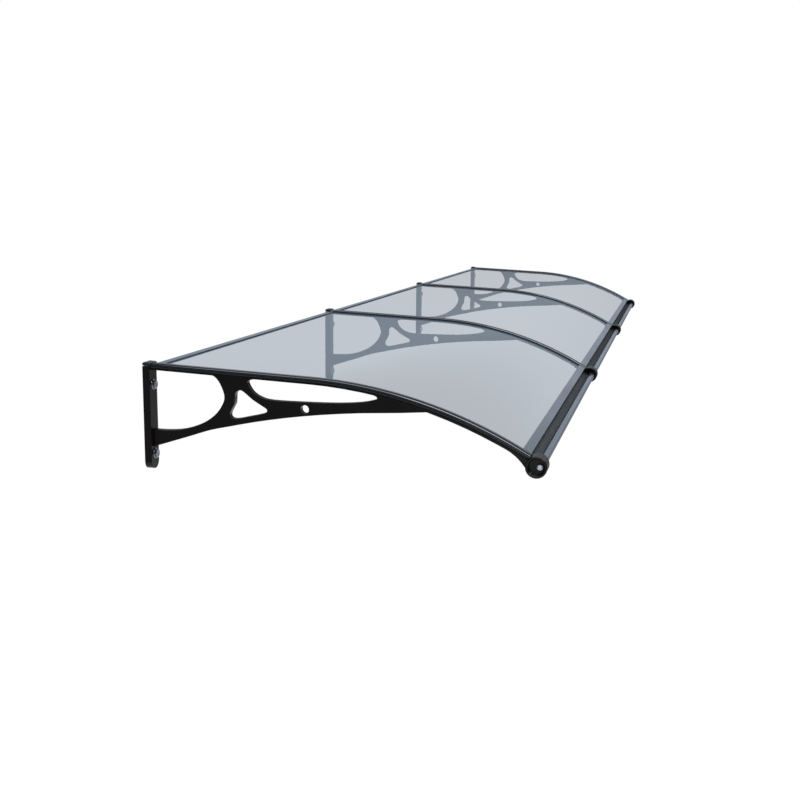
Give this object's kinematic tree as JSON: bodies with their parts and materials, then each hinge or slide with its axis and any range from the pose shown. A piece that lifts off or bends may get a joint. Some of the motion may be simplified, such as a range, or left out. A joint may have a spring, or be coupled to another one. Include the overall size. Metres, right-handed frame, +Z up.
{
  "type": "metal awning",
  "caption": "Long wall canopy over a door: arched see-through sheets on open black cast brackets, held by strips, with a slim rail at the wall and a gutter rail in front.",
  "frame": {"origin": "on the wall plane, at the middle of the canopy's length, on the back of the middle wall rail and 1.5 mm above its foot", "axes": "+Z up, +X along the wall, +Y into the wall, so the canopy reaches out along -Y"},
  "size_m": [3.637, 0.81, 0.2181],
  "materials": {
    "black_casting": "satin black powder coat on cast aluminium",
    "black_strip": "smooth black coat on extruded aluminium",
    "black_plastic": "satin moulded",
    "black_rubber": "matte",
    "clear_sheet": "clear, lightly tinted grey, glossy",
    "rail": "satin anodised",
    "zinc_steel": "bright zinc plate"
  },
  "bodies": {
    "root": {"bracket_1": "black_casting", "lower_gasket_1": "black_rubber", "upper_gasket_1": "black_rubber", "pressing_strip_1": "black_strip", "strip_end_cap_1": "black_plastic", "upper_wall_bolt_1": "zinc_steel", "upper_wall_washer_1": "zinc_steel", "lower_wall_bolt_1": "zinc_steel", "lower_wall_washer_1": "zinc_steel", "hub_screw_1": "zinc_steel", "bracket_2": "black_casting", "lower_gasket_2": "black_rubber", "upper_gasket_2": "black_rubber", "pressing_strip_2": "black_strip", "strip_end_cap_2": "black_plastic", "upper_wall_bolt_2": "zinc_steel", "upper_wall_washer_2": "zinc_steel", "lower_wall_bolt_2": "zinc_steel", "lower_wall_washer_2": "zinc_steel", "hub_screw_2": "zinc_steel", "bracket_3": "black_casting", "lower_gasket_3": "black_rubber", "upper_gasket_3": "black_rubber", "pressing_strip_3": "black_strip", "strip_end_cap_3": "black_plastic", "upper_wall_bolt_3": "zinc_steel", "upper_wall_washer_3": "zinc_steel", "lower_wall_bolt_3": "zinc_steel", "lower_wall_washer_3": "zinc_steel", "hub_screw_3": "zinc_steel", "bracket_4": "black_casting", "lower_gasket_4": "black_rubber", "upper_gasket_4": "black_rubber", "pressing_strip_4": "black_strip", "strip_end_cap_4": "black_plastic", "upper_wall_bolt_4": "zinc_steel", "upper_wall_washer_4": "zinc_steel", "lower_wall_bolt_4": "zinc_steel", "lower_wall_washer_4": "zinc_steel", "hub_screw_4": "zinc_steel", "end_hub_screw": "zinc_steel", "roof_sheet_1": "clear_sheet", "front_rail_1": "rail", "front_seal_1": "black_rubber", "wall_rail_1": "rail", "wall_seal_1": "black_rubber", "roof_sheet_2": "clear_sheet", "front_rail_2": "rail", "front_seal_2": "black_rubber", "wall_rail_2": "rail", "wall_seal_2": "black_rubber", "roof_sheet_3": "clear_sheet", "front_rail_3": "rail", "front_seal_3": "black_rubber", "wall_rail_3": "rail", "wall_seal_3": "black_rubber"}
  },
  "joints": []
}
